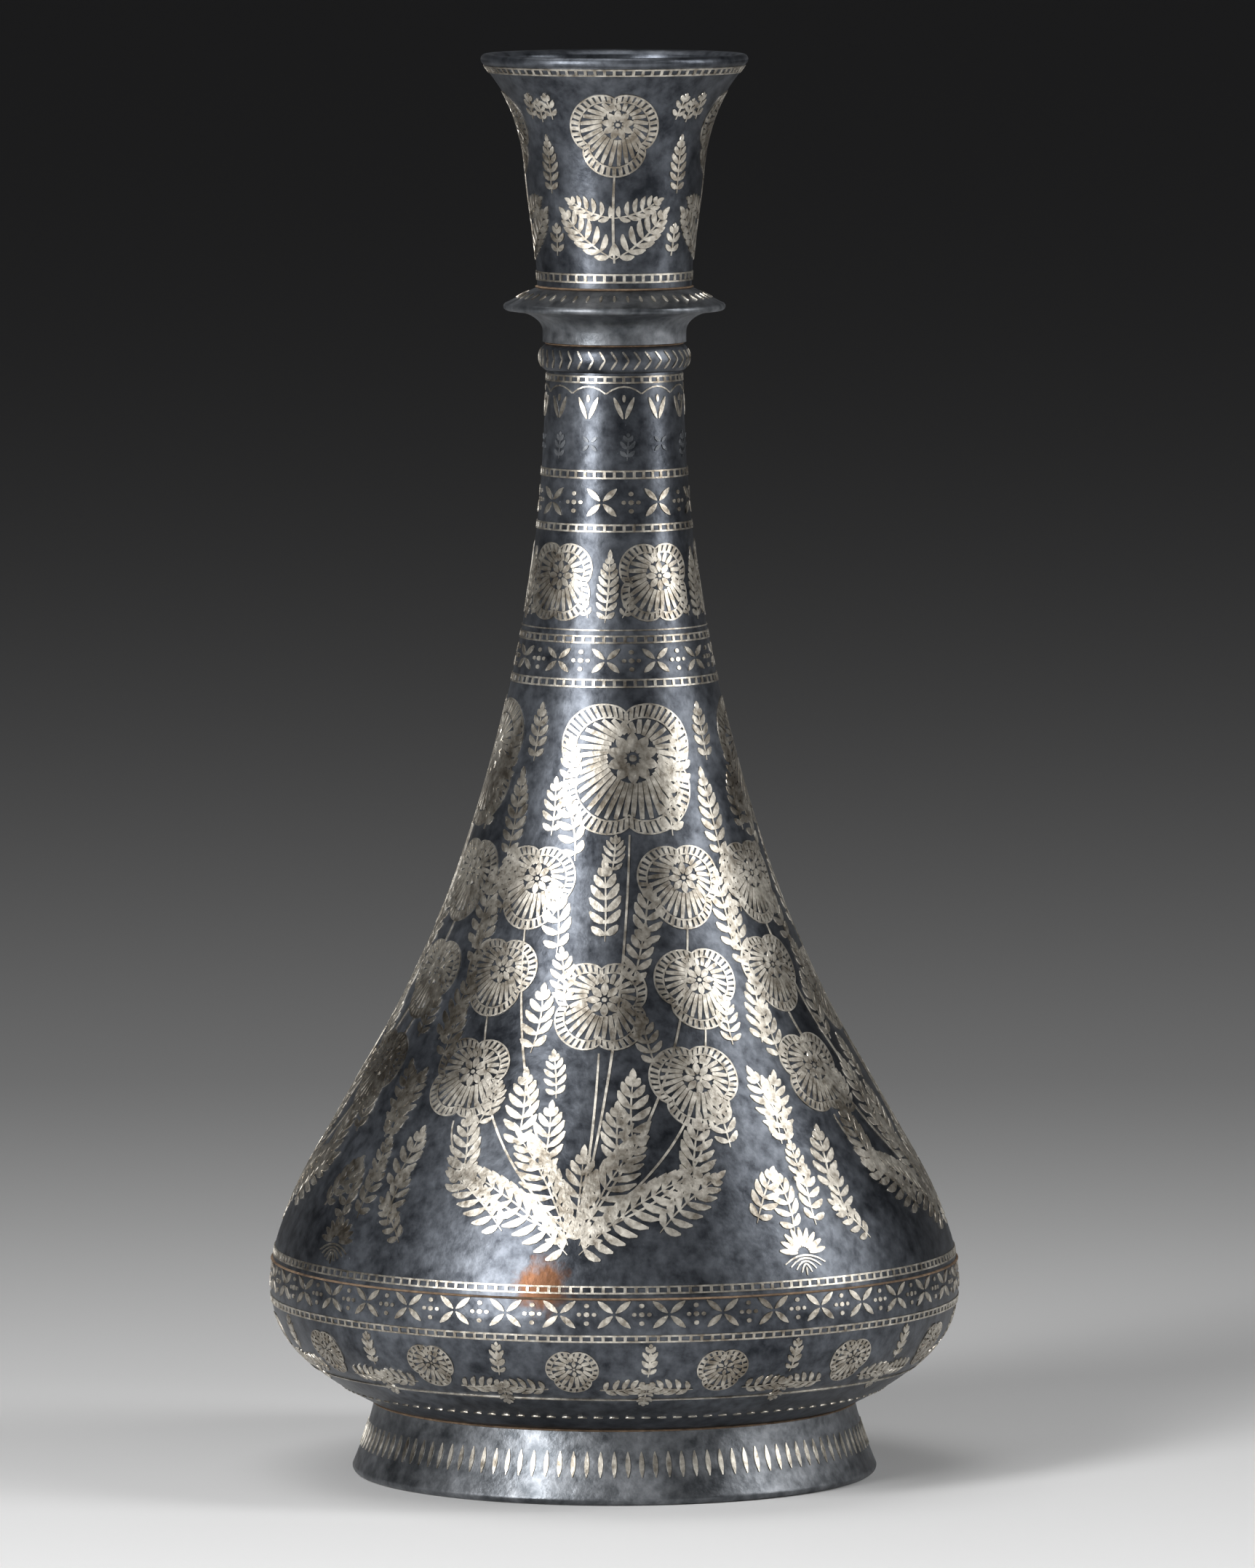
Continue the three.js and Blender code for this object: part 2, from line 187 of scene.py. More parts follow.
# A piece of four-cornered faces that rides on the one body
def makePiece(name, points, faces, material, nodes, smooth):
    mesh = bpy.data.meshes.new(name)
    mesh.vertices.add(len(points))
    mesh.vertices.foreach_set("co", np.asarray(points, np.float32).ravel())
    mesh.loops.add(faces.size)
    mesh.loops.foreach_set("vertex_index", faces.astype(np.int32).ravel())
    mesh.polygons.add(len(faces))
    mesh.polygons.foreach_set("loop_start", np.arange(0, faces.size, 4, dtype=np.int32))
    mesh.polygons.foreach_set("use_smooth", np.full(len(faces), smooth))
    mesh.update(calc_edges=True)
    mesh.validate()
    piece = bpy.data.objects.new(name, mesh)
    bpy.context.scene.collection.objects.link(piece)
    mesh.materials.append(material)
    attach(piece, "root")
    if nodes:
        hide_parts(*nodes)
    return piece


# Lathe: an anticlockwise closed outline of radius and height carried round the axis. Where it
# reaches the axis, closePoles joins the points there
turning = {"sides": 192, "sharpFrom": 40, "weld": 1e-7}


def lathe(name, outline, material, nodes, closePoles=False):
    sides = turning["sides"]
    r, z = np.array(outline, float).T
    theta = np.linspace(0, 2 * math.pi, sides, endpoint=False)
    points = np.stack([
        np.outer(r, np.sin(theta)), -np.outer(r, np.cos(theta)), np.repeat(z[:, None], sides, 1),
    ], -1).reshape(-1, 3) * metre
    i = np.arange(len(r))[:, None]
    j = np.arange(sides)[None, :]
    above = (i + 1) % len(r)
    beside = (j + 1) % sides
    faces = np.stack([i * sides + j, i * sides + beside, above * sides + beside, above * sides + j], -1)
    piece = makePiece(name, points, faces.reshape(-1, 4), material, nodes, True)
    if closePoles:
        soft = bmesh.new()
        soft.from_mesh(piece.data)
        bmesh.ops.remove_doubles(soft, verts=soft.verts, dist=turning["weld"])
        soft.to_mesh(piece.data)
        soft.free()
    piece.data.set_sharp_from_angle(angle=math.radians(turning["sharpFrom"]))


# Strokes: each row is an angle, a height, the points P0, P1, P2 of a quadratic curve on the
# surface, a half width w and an end share. The half width along the curve is
# w (end + (1 - end) sin(pi t) ** fullness), and the box section stands out of the casting
inlay = {"stand": 0.16, "sunk": 0.25, "topShare": 0.8, "fullness": 0.8}


def strokes(name, surface, rows, nodes=(), steps=4, material=None):
    t = np.linspace(0, 1, steps + 1)[None, :]
    angle, height, u0, v0, u1, v1, u2, v2, width, end = [c[:, None] for c in rows.T]
    u = u0 * (1 - t) ** 2 + 2 * u1 * t * (1 - t) + u2 * t * t
    v = v0 * (1 - t) ** 2 + 2 * v1 * t * (1 - t) + v2 * t * t
    du = 2 * (u1 - u0) * (1 - t) + 2 * (u2 - u1) * t
    dv = 2 * (v1 - v0) * (1 - t) + 2 * (v2 - v1) * t
    speed = np.maximum(np.hypot(du, dv), 1e-9)
    half = width * (end + (1 - end) * np.sin(math.pi * t) ** inlay["fullness"])
    across = np.array([-1, 1, inlay["topShare"], -inlay["topShare"]])[None, None, :]
    h = np.array([-inlay["sunk"], -inlay["sunk"], inlay["stand"], inlay["stand"]])[None, None, :]
    uu = u[:, :, None] - (dv / speed * half)[:, :, None] * across
    vv = v[:, :, None] + (du / speed * half)[:, :, None] * across
    points = onSurface(surface, angle[:, :, None], height[:, :, None], uu, vv, h + 0 * uu)
    ring = 4
    i = np.arange(steps)[:, None]
    j = np.arange(ring)[None, :]
    beside = (j + 1) % ring
    sides = np.stack([i * ring + j, i * ring + beside, (i + 1) * ring + beside, (i + 1) * ring + j], -1)
    last = steps * ring
    caps = np.array([[3, 2, 1, 0], [last, last + 1, last + 2, last + 3]])
    one = np.concatenate([sides.reshape(-1, 4), caps])
    faces = one[None] + (np.arange(len(rows)) * (steps + 1) * ring)[:, None, None]
    makePiece(name, points.reshape(-1, 3), faces.reshape(-1, 4), material or silver, nodes, False)


# Rows turned in their own plane and laid at each angle at one height
def laid(rows, angles, height, turn=0, mirror=1):
    rows = np.asarray(rows, float)
    a = math.radians(turn)
    out = rows.copy()
    for k in (0, 2, 4):
        u = rows[:, k] * mirror
        v = rows[:, k + 1]
        out[:, k] = u * math.cos(a) - v * math.sin(a)
        out[:, k + 1] = u * math.sin(a) + v * math.cos(a)
    head = np.stack([np.repeat(angles, len(out)), np.full(len(out) * len(angles), float(height))], -1)
    return np.concatenate([head, np.tile(out, (len(angles), 1))], 1)


# Angles of copies spread evenly round the vase, each 360 / count past the last
def turnsOf(first, count):
    return first + np.arange(count) * 360 / count


# One stroke from end to end, its middle pushed aside by bend times its length
def bar(u0, v0, u2, v2, w, end=1.0, bend=0.0):
    mu = (u0 + u2) / 2 - bend * (v2 - v0)
    mv = (v0 + v2) / 2 + bend * (u2 - u0)
    return [u0, v0, mu, mv, u2, v2, w, end]


# A point off the centre by the reach, at the angle a clockwise from straight up
def around(centre, reach, a):
    return centre[0] + reach * math.sin(a), centre[1] + reach * math.cos(a)


# Flower: a lobed outline R (swell - notch (1 - |sin(lobes a / 2)| ** roundness)), drawn as
# two border lines with studs between, a fan of hatching inside, and petals round an eye
flowerStyle = {
    "swell": 1.05, "notch": 0.24, "roundness": 0.7, "chordsPerLobe": 8, "border": (1.0, 0.8),
    "stud": (0.81, 0.99), "studPitch": 1.1, "studHalf": 0.4, "eye": (0.08, 0.16), "eyeHalf": 0.05,
    "eyeWidth": 0.06, "eyeEnd": 0.5, "fan": (0.36, 0.77), "fanMiddle": 0.6, "fanFill": 0.86,
    "fanEnd": 0.75, "petal": (0.09, 0.37), "petalWidth": 0.1, "petalEnd": 0.2,
}


def flower(radius, lobes, petals, hatch, wire=0.17):
    style = flowerStyle

    def rim(a, share):
        dip = 1 - abs(math.sin(lobes * a / 2)) ** style["roundness"]
        return around((0, 0), radius * share * (style["swell"] - style["notch"] * dip), a)

    rows = []
    chords = style["chordsPerLobe"] * lobes
    for k in range(chords):
        a, m, b = [2 * math.pi * (k + f) / chords for f in (0, 0.5, 1)]
        for share in style["border"]:
            p, q, r = rim(a, share), rim(m, share), rim(b, share)
            control = (2 * q[0] - (p[0] + r[0]) / 2, 2 * q[1] - (p[1] + r[1]) / 2)
            rows.append([*p, *control, *r, wire, 1.0])
    studs = int(2 * math.pi * radius / style["studPitch"])
    for k in range(studs):
        a = 2 * math.pi * k / studs
        rows.append(bar(*rim(a, style["stud"][0]), *rim(a, style["stud"][1]), style["studHalf"]))
    eye = (style["eye"][0] * radius, style["eye"][1] * radius)
    fanHalf = style["fanFill"] * math.pi * style["fanMiddle"] * radius / hatch
    for k in range(hatch):
        a = 2 * math.pi * (k + 0.5) / hatch
        inner = around(eye, style["fan"][0] * radius, a)
        rows.append(bar(*inner, *rim(a, style["fan"][1]), fanHalf, style["fanEnd"]))
    for k in range(petals):
        a = 2 * math.pi * k / petals
        base = around(eye, style["petal"][0] * radius, a)
        tip = around(eye, style["petal"][1] * radius, a)
        rows.append(bar(*base, *tip, style["petalWidth"] * radius, style["petalEnd"]))
    reach = style["eyeHalf"] * radius
    rows.append(bar(eye[0] - reach, eye[1], eye[0] + reach, eye[1],
                    style["eyeWidth"] * radius, style["eyeEnd"]))
    return rows


# Leaf: side strokes along a curved midrib, their reach
# width sin(pi (from + (1 - from) t) ** skew) ** fullness, leaning forward more towards the tip
leafStyle = {
    "ribHalf": 0.2, "ribEnd": 0.4, "first": 0.6, "left": 0.4, "from": 0.18, "skew": 1.1, "fullness": 0.7,
    "lean": 58, "leanLoss": 30, "sideWidth": 0.44, "sideEnd": 0.25, "sideBend": 0.18,
    "tipFrom": 0.93, "tipTo": 1.12, "tipBend": 1.15, "tipWidth": 0.4, "tipEnd": 0.15,
}


def leaf(length, width, bend, pairs):
    style = leafStyle
    rows = [bar(0, 0, bend * length, length, style["ribHalf"], style["ribEnd"], -bend / 2)]
    spacing = length / (pairs + 1)
    for k in range(pairs):
        t = (k + style["first"]) / (pairs + style["left"])
        u = bend * length * t * (2 - t)
        v = length * t
        share = style["from"] + (1 - style["from"]) * t
        reach = width * math.sin(math.pi * share ** style["skew"]) ** style["fullness"]
        lean = math.radians(style["lean"] - style["leanLoss"] * t)
        for side in (-1, 1):
            tip = (u + side * reach * math.sin(lean), v + reach * math.cos(lean))
            rows.append(bar(u, v, *tip, style["sideWidth"] * spacing, style["sideEnd"],
                            -side * style["sideBend"]))
    rows.append(bar(bend * length, length * style["tipFrom"], bend * length * style["tipBend"],
                    length * style["tipTo"], style["tipWidth"] * spacing, style["tipEnd"]))
    return rows


# Sprig: a small leaf of three pairs
sprigStyle = {"width": 0.42, "bend": 0.06, "pairs": 3}


def sprig(length):
    return leaf(length, length * sprigStyle["width"], sprigStyle["bend"], sprigStyle["pairs"])


# Dot: a stroke a little shorter than it is wide, narrower at its ends
dotStyle = {"reach": 0.9, "end": 0.45}


def dot(u, v, w):
    return bar(u - w * dotStyle["reach"], v, u + w * dotStyle["reach"], v, w, dotStyle["end"])


# Cross: four petals from near the middle out to the corners of a box
crossStyle = {"heart": 0.25, "end": 0.15}


def crossPetals(reach, tall, w):
    heart = crossStyle["heart"]
    return [bar(su * heart, sv * heart, su * reach, sv * tall, w, crossStyle["end"])
            for su in (-1, 1) for sv in (-1, 1)]


# A shader node: settings that start with in_ go to its sockets, the others to the node
def node(tree, kind, at, **settings):
    made = tree.nodes.new(kind)
    made.location = at
    for key, value in settings.items():
        if key.startswith("in_"):
            made.inputs[key[3:].replace("_", " ")].default_value = value
        else:
            setattr(made, key, value)
    return made


# The range that comes in and the range that it goes out as
def setRange(mapRange, fromLow, fromHigh, toLow=0.0, toHigh=1.0):
    mapRange.inputs["From Min"].default_value = fromLow
    mapRange.inputs["From Max"].default_value = fromHigh
    mapRange.inputs["To Min"].default_value = toLow
    mapRange.inputs["To Max"].default_value = toHigh


# The places and colours along a ramp
def setRamp(ramp, stops):
    elements = ramp.color_ramp.elements
    while len(elements) < len(stops):
        elements.new(0.5)
    for element, (position, colour) in zip(elements, stops):
        element.position = position
        element.color = (*colour, 1)


# Rust: a patch of brown round one place, its edge made ragged by the fine noise
rustLook = {
    "angle": -12.0, "height": 38.5, "size": 0.007, "outer": 1.25, "inner": 0.85,
    "colour": (0.1, 0.045, 0.022, 1),
}
rustPlace = onSurface(bodySurface, rustLook["angle"], rustLook["height"], 0.0, 0.0, 0.0)
colourMix = {"first": 6, "second": 7, "result": 2}  # the colour sockets of a Mix node


def rusted(tree, place, fine, colour):
    link = tree.links.new
    away = node(tree, "ShaderNodeVectorMath", (-700, 500), operation="DISTANCE")
    away.inputs[1].default_value = tuple(rustPlace.tolist())
    link(place.outputs["Object"], away.inputs[0])
    ragged = node(tree, "ShaderNodeMath", (-500, 500), operation="MULTIPLY_ADD")
    ragged.inputs[1].default_value = rustLook["size"]
    link(fine.outputs["Fac"], ragged.inputs[0])
    link(away.outputs["Value"], ragged.inputs[2])
    mask = node(tree, "ShaderNodeMapRange", (-350, 500))
    setRange(mask, rustLook["size"] * rustLook["outer"], rustLook["size"] * rustLook["inner"])
    link(ragged.outputs[0], mask.inputs["Value"])
    rust = node(tree, "ShaderNodeMix", (-200, 300), data_type="RGBA")
    rust.inputs[colourMix["second"]].default_value = rustLook["colour"]
    link(mask.outputs["Result"], rust.inputs["Factor"])
    link(colour, rust.inputs[colourMix["first"]])
    return rust.outputs[colourMix["result"]]


# Metal: the product of two noises mixes a dark and a light tone, the broad noise varies the
# gloss, and the fine noise less small round pits makes the bump
noiseGrain = {"broadDetail": 6.0, "broadRough": 0.62, "fineDetail": 5.0, "fineRough": 0.6}
glossRange = (0.3, 0.7)
bumpHeight = 0.0002


def metal(name, look, withRust=False):
    material = bpy.data.materials.new(name)
    material.use_nodes = True
    tree = material.node_tree
    link = tree.links.new
    shader = tree.nodes["Principled BSDF"]
    shader.inputs["Metallic"].default_value = look["metallic"]
    shader.inputs["IOR"].default_value = 1.5
    place = node(tree, "ShaderNodeTexCoord", (-1100, 0))
    broad = node(tree, "ShaderNodeTexNoise", (-900, 200), in_Scale=look["broad"],
                 in_Detail=noiseGrain["broadDetail"], in_Roughness=noiseGrain["broadRough"])
    fine = node(tree, "ShaderNodeTexNoise", (-900, -50), in_Scale=look["fine"],
                in_Detail=noiseGrain["fineDetail"], in_Roughness=noiseGrain["fineRough"])
    pits = node(tree, "ShaderNodeTexVoronoi", (-900, -300), in_Scale=look["pits"])
    for texture in (broad, fine, pits):
        link(place.outputs["Object"], texture.inputs["Vector"])
    blend = node(tree, "ShaderNodeMath", (-700, 100), operation="MULTIPLY")
    link(broad.outputs["Fac"], blend.inputs[0])
    link(fine.outputs["Fac"], blend.inputs[1])
    tone = node(tree, "ShaderNodeValToRGB", (-500, 150))
    setRamp(tone, [(look["from"], look["dark"]), (look["to"], look["light"])])
    link(blend.outputs[0], tone.inputs["Fac"])
    colour = tone.outputs["Color"]
    if withRust:
        colour = rusted(tree, place, fine, colour)
    link(colour, shader.inputs["Base Color"])
    gloss = node(tree, "ShaderNodeMapRange", (-500, -100))
    setRange(gloss, *glossRange, look["glossy"], look["dull"])
    link(broad.outputs["Fac"], gloss.inputs["Value"])
    link(gloss.outputs["Result"], shader.inputs["Roughness"])
    dent = node(tree, "ShaderNodeMath", (-700, -300), operation="LESS_THAN")
    dent.inputs[1].default_value = look["pitSize"]
    link(pits.outputs["Distance"], dent.inputs[0])
    depth = node(tree, "ShaderNodeMath", (-500, -350), operation="SUBTRACT")
    link(fine.outputs["Fac"], depth.inputs[0])
    link(dent.outputs[0], depth.inputs[1])
    bump = node(tree, "ShaderNodeBump", (-300, -300), in_Strength=look["bump"], in_Distance=bumpHeight)
    link(depth.outputs[0], bump.inputs["Height"])
    link(bump.outputs["Normal"], shader.inputs["Normal"])
    return material


groundLook = {
    "dark": (0.02, 0.023, 0.029), "light": (0.125, 0.136, 0.155), "from": 0.14, "to": 0.4,
    "metallic": 0.85, "glossy": 0.27, "dull": 0.46, "broad": 45, "fine": 420, "pits": 700,
    "pitSize": 0.14, "bump": 0.35,
}
wornLook = {
    "dark": (0.045, 0.05, 0.056), "light": (0.21, 0.22, 0.235), "from": 0.14, "to": 0.4,
    "metallic": 0.85, "glossy": 0.27, "dull": 0.6, "broad": 45, "fine": 420, "pits": 700,
    "pitSize": 0.14, "bump": 0.55,
}
silverLook = {
    "dark": (0.2, 0.172, 0.135), "light": (0.74, 0.7, 0.62), "from": 0.15, "to": 0.37,
    "metallic": 1.0, "glossy": 0.3, "dull": 0.48, "broad": 60, "fine": 700, "pits": 1500,
    "pitSize": 0.12, "bump": 0.4,
}
solderLook = {
    "dark": (0.07, 0.043, 0.026), "light": (0.26, 0.18, 0.115), "from": 0.12, "to": 0.4,
    "metallic": 0.35, "glossy": 0.55, "dull": 0.8, "broad": 120, "fine": 900, "pits": 1200,
    "pitSize": 0.2, "bump": 0.8,
}
ground = metal("blackened zinc", groundLook, withRust=True)
worn = metal("worn zinc", wornLook)
silver = metal("silver inlay", silverLook)
solder = metal("brown solder", solderLook)
print("materials made")


# Points of an arc, and points up a turned profile
def arc(centre, radius, start, stop, count=8):
    a = np.radians(np.linspace(start, stop, count))
    return [(centre[0] + radius * math.cos(x), centre[1] + radius * math.sin(x)) for x in a]


def rise(radiusAt, low, high, count):
    z = np.linspace(low, high, count)
    return list(zip(np.asarray(radiusAt(z), float), z))


# A zinc casting in the place of one node
def casting(name, outline, material, replaced, closePoles=False):
    lathe(name, outline, material, [replaced], closePoles)


# Foot ring: a rounded toe, the flare, and a bore that follows it
toe = footShape["toeRound"]
toeEase = 0.3
footPoints = {"flare": 30, "bore": 12}
footLining = rise(footRadius, joints["footTop"], 0, footPoints["bore"])
footOutline = arc((footRadius(toe) - toe, toe), toe, -90, 0)
footOutline += rise(footRadius, toe + toeEase, joints["footTop"], footPoints["flare"])
footOutline += [(r - footShape["wall"], z) for r, z in footLining]
casting("foot_casting", footOutline, worn, "foot_ring")

# Bowl: boss, seat, the full curve, the seam lip, and the hollow with its eased floor
wall = bodyShape["wall"]
seamRadius = float(bodyRadius(joints["seamLow"]))
seamLip = seamRadius - wall / 2
lipTop = joints["seamLow"] + fits["spigotHeight"]
bossRadius = footShape["topRadius"] - footShape["wall"] - fits["gap"]
bossLow = joints["bowlLow"] - bodyShape["bossDepth"]
bowlFloor = {"start": 5.5, "ease": [(4, 0.6), (12, 0)]}  # in from the last point, above the floor
bowlPoints = {"outside": 60, "hollow": 24}
bowlLining = rise(bodyRadius, lipTop, joints["bowlLow"] + bowlFloor["start"], bowlPoints["hollow"])
hollowSide = [(r - wall, z) for r, z in bowlLining]
bowlOutline = [(0, bossLow), (bossRadius, bossLow), (bossRadius, joints["bowlLow"])]
bowlOutline += rise(bodyRadius, joints["bowlLow"], joints["seamLow"], bowlPoints["outside"])
bowlOutline += [(seamLip, joints["seamLow"]), (seamLip, lipTop)] + hollowSide
bowlOutline += [(hollowSide[-1][0] - inwards, bossLow + wall + up) for inwards, up in bowlFloor["ease"]]
bowlOutline += [(0, bossLow + wall)]
casting("bowl_casting", bowlOutline, ground, "bowl", closePoles=True)


# Shoulder, neck and rope ring, with the spigot that enters the collar and the lining
def liningRadius(r, z):
    if z < bodyShape["thinWallFrom"]:
        return r - wall
    return max(r - bodyShape["neckWall"], bodyShape["boreRadius"])


socket = seamLip + fits["gap"]
bore = bodyShape["boreRadius"]
spigot = bore + fits["spigotWall"]
spigotTop = joints["neckEnd"] + fits["spigotHeight"]
liningEase = {"top": 1, "bottom": 3}
ropeEase = 0.05
neckPoints = {"outside": 130, "rope": 20, "lining": 60}
neckOutline = [(socket, joints["seamHigh"])]
neckOutline += rise(bodyRadius, joints["seamHigh"], ropeLow, neckPoints["outside"])
neckOutline += rise(bodyRadius, ropeLow + ropeEase, joints["neckEnd"] - ropeEase, neckPoints["rope"])
neckOutline += [(bodyShape["neckRadius"], joints["neckEnd"]), (spigot, joints["neckEnd"])]
neckOutline += [(spigot, spigotTop), (bore, spigotTop)]
liningTop = ropeLow - liningEase["top"]
liningEnd = joints["seamHigh"] + liningEase["bottom"]
neckLining = rise(bodyRadius, liningTop, liningEnd, neckPoints["lining"])
neckOutline += [(liningRadius(r, z), z) for r, z in neckLining]
neckOutline += [(socket, lipTop + fits["gap"] + joints["seamHigh"] - joints["seamLow"])]
casting("shoulder_casting", neckOutline, ground, "shoulder_and_neck")

# Collar: socket, stem, a quarter ellipse of hollow moulding, the round edge, shelf and spigot
hollowLow = joints["collarLow"] + collarShape["stemHeight"]
collarSocket = spigot + fits["gap"]
collarSpigotTop = joints["collarTop"] + fits["spigotHeight"]
stemRadius = collarShape["stemRadius"]
mouldingPoints = 12
edgeTurn = 80
moulding = [
    (flangeRim + (stemRadius - flangeRim) * math.cos(a), hollowLow + (flangeLow - hollowLow) * math.sin(a))
    for a in np.linspace(0, math.pi / 2, mouldingPoints)
]
edgeMiddle = (flangeRim, (flangeLow + flangeHigh) / 2)
collarOutline = [(collarSocket, joints["collarLow"]), (stemRadius, joints["collarLow"])] + moulding
collarOutline += arc(edgeMiddle, collarShape["flangeEdge"] / 2, -edgeTurn, edgeTurn)
collarOutline += [
    (collarShape["shelfRadius"], joints["collarTop"] - collarShape["shelfEase"]),
    (collarShape["shelfRadius"] - 2 * collarShape["shelfEase"], joints["collarTop"]),
    (spigot, joints["collarTop"]), (spigot, collarSpigotTop), (bore, collarSpigotTop),
    (bore, spigotTop + fits["gap"]), (collarSocket, spigotTop + fits["gap"]),
]
casting("collar_casting", collarOutline, worn, "collar")

# Mouth cup: the flare, the round lip, the worn rim inside it and the lining
lipRound = cupShape["lipRound"]
lipRadius = cupShape["lipRadius"]
lipTurn = (-60, 90)
cupPoints = {"flare": 70, "lip": 12, "lining": 50}
cupLining = rise(cupRadius, lipLow, joints["cupLow"], cupPoints["lining"])
cupOutline = rise(cupRadius, joints["cupLow"], lipLow, cupPoints["flare"])
cupOutline += arc((lipRadius - lipRound, joints["cupTop"] - lipRound), lipRound, *lipTurn, cupPoints["lip"])
cupOutline += [(lipRadius - inwards, joints["cupTop"] - down) for inwards, down in cupShape["rimIn"]]
cupOutline += [(r - cupShape["wall"], z) for r, z in cupLining]
casting("cup_casting", cupOutline, ground, "mouth_cup")
print("castings made")


# Solder: a washer whose outer edge is a half sine bead
bead = {"stand": 0.35, "points": 7}


def solderRing(name, low, high, inner, outer):
    turn = np.linspace(0, math.pi, bead["points"])
    edge = [(outer + bead["stand"] * math.sin(a), low + (high - low) * a / math.pi) for a in turn]
    lathe(name + "_bead", [(inner, low)] + edge + [(inner, high)], solder, [name])


footBore = bossRadius + fits["gap"]
solderRing("foot_solder", joints["footTop"], joints["bowlLow"], footBore, footShape["topRadius"])
solderRing("belly_solder", joints["seamLow"], joints["seamHigh"], socket, seamRadius)
solderRing("neck_solder", joints["neckEnd"], joints["collarLow"], collarSocket, bodyShape["neckRadius"])
solderRing("cup_solder", joints["collarTop"], joints["cupLow"], collarSocket, cupShape["footRadius"])

# Ladders: two thin hoops and the rungs between them, at the nodes' own heights
ladders = {
    "lip_ladder": (cupSurface, 84), "cup_ladder": (cupSurface, 50), "rope_ladder": (bodySurface, 46),
    "upper_star_ladder": (bodySurface, 46), "lower_star_ladder": (bodySurface, 50),
    "upper_cross_ladder": (bodySurface, 56), "lower_cross_ladder": (bodySurface, 62),
    "belly_upper_ladder": (bodySurface, 200), "belly_lower_ladder": (bodySurface, 200),
}
wire = {"hoop": 0.17, "rung": 0.3, "overlap": 1.01}


# A hoop of chords that overlap a little, laid on the surface at one height
def hoopRows(surface, height, width, segments=60):
    r = float(np.interp(height, surface["z"], surface["r"]))
    half = math.pi * r / segments * wire["overlap"]
    return laid([bar(-half, 0, half, 0, width)], turnsOf(0, segments), height)


for name, (surface, rungs) in ladders.items():
    low = lowOf(name) + wire["hoop"]
    high = highOf(name) - wire["hoop"]
    half = (high - low) / 2
    rows = [hoopRows(surface, low, wire["hoop"]), hoopRows(surface, high, wire["hoop"])]
    rows.append(laid([bar(0, -half, 0, half, wire["rung"])], turnsOf(0, rungs), (low + high) / 2))
    strokes(name + "_wires", surface, np.concatenate(rows), nodes=[name])
print("ladders made")

# Cup: four flowers on stems, with leaves on both sides and sprigs between
cupInlay = {
    "count": 4, "flowerHeight": 227.6, "radius": 7.4, "lobes": 3, "petals": 9, "hatch": 26,
    "stem": bar(0, 0, 0, 15, 0.28, 0.7, 0.03), "stemFoot": 205.4,
    # length, width, bend, pairs, height, turn
    "leaves": [(11.5, 3.4, 0.25, 7, 206, 34), (8, 2.6, 0.3, 6, 213, 52)],
    "sideSprig": {"length": 4.5, "away": 37, "height": 229.5, "turn": 8},
    "between": 45, "betweenLeaf": (9, 2.4, 0.0, 6), "betweenHeight": 217,
    "betweenSprigs": [(5, 206.5), (4, 229)],  # length, height
}
cupAngles = turnsOf(0, cupInlay["count"])
cupRows = flower(cupInlay["radius"], cupInlay["lobes"], cupInlay["petals"], cupInlay["hatch"])
strokes("cup_flower_plates", cupSurface, laid(cupRows, cupAngles, cupInlay["flowerHeight"]),
        nodes=["cup_flower_%d" % (k + 1) for k in range(cupInlay["count"])])
rows = [laid([cupInlay["stem"]], cupAngles, cupInlay["stemFoot"])]
sideSprig = cupInlay["sideSprig"]
for side in (-1, 1):
    for length, width, bend, pairs, height, turn in cupInlay["leaves"]:
        rows.append(laid(leaf(length, width, bend, pairs), cupAngles, height, turn=-side * turn, mirror=side))
    rows.append(laid(sprig(sideSprig["length"]), cupAngles + side * sideSprig["away"],
                     sideSprig["height"], turn=-side * sideSprig["turn"]))
betweenAngles = cupAngles + cupInlay["between"]
rows.append(laid(leaf(*cupInlay["betweenLeaf"]), betweenAngles, cupInlay["betweenHeight"]))
for length, height in cupInlay["betweenSprigs"]:
    rows.append(laid(sprig(length), betweenAngles, height))
strokes("cup_foliage", cupSurface, np.concatenate(rows))

# Flange dashes and the rope ring's chevrons
flangeInlay = {"count": 44, "dash": bar(0, -0.9, 0, 0.9, 0.28, 0.4)}
strokes("flange_dashes", flangeSurface,
        laid([flangeInlay["dash"]], turnsOf(0, flangeInlay["count"]), (flangeHigh + joints["collarTop"]) / 2))
ropeInlay = {
    "count": 40,
    "chevron": [bar(-0.55, 1.5, 0.45, 0, 0.22, 0.6), bar(0.45, 0, -0.55, -1.5, 0.22, 0.6)],
}
strokes("rope_chevrons", bodySurface,
        laid(ropeInlay["chevron"], turnsOf(0, ropeInlay["count"]), (ropeLow + joints["neckEnd"]) / 2))

# Scallops below the rope ladder, each with a pair of petals and a drop
scallops = {
    "count": 12, "first": 8, "height": 183.4, "crown": 2.4, "half": 0.15,
    "petal": (0.2, 1.7, 3.6, 0.5, 0.2), "petalHeight": 179.2,  # foot, spread, rise, half width, end
    "drop": bar(0, 0, 0, 1.2, 0.35, 0.4), "dropHeight": 182,
}
scallopAngles = turnsOf(scallops["first"], scallops["count"])
span = bodyShape["neckRadius"] * math.pi / scallops["count"]
swag = [-span, 0, 0, scallops["crown"], span, 0, scallops["half"], 1.0]
rows = [laid([swag], scallopAngles, scallops["height"])]
near, spread, tall, half, end = scallops["petal"]
for side in (-1, 1):
    petal = bar(side * near, 0, side * spread, tall, half, end)
    rows.append(laid([petal], scallopAngles, scallops["petalHeight"]))
rows.append(laid([scallops["drop"]], scallopAngles, scallops["dropHeight"]))
strokes("neck_scallops", bodySurface, np.concatenate(rows), steps=6)

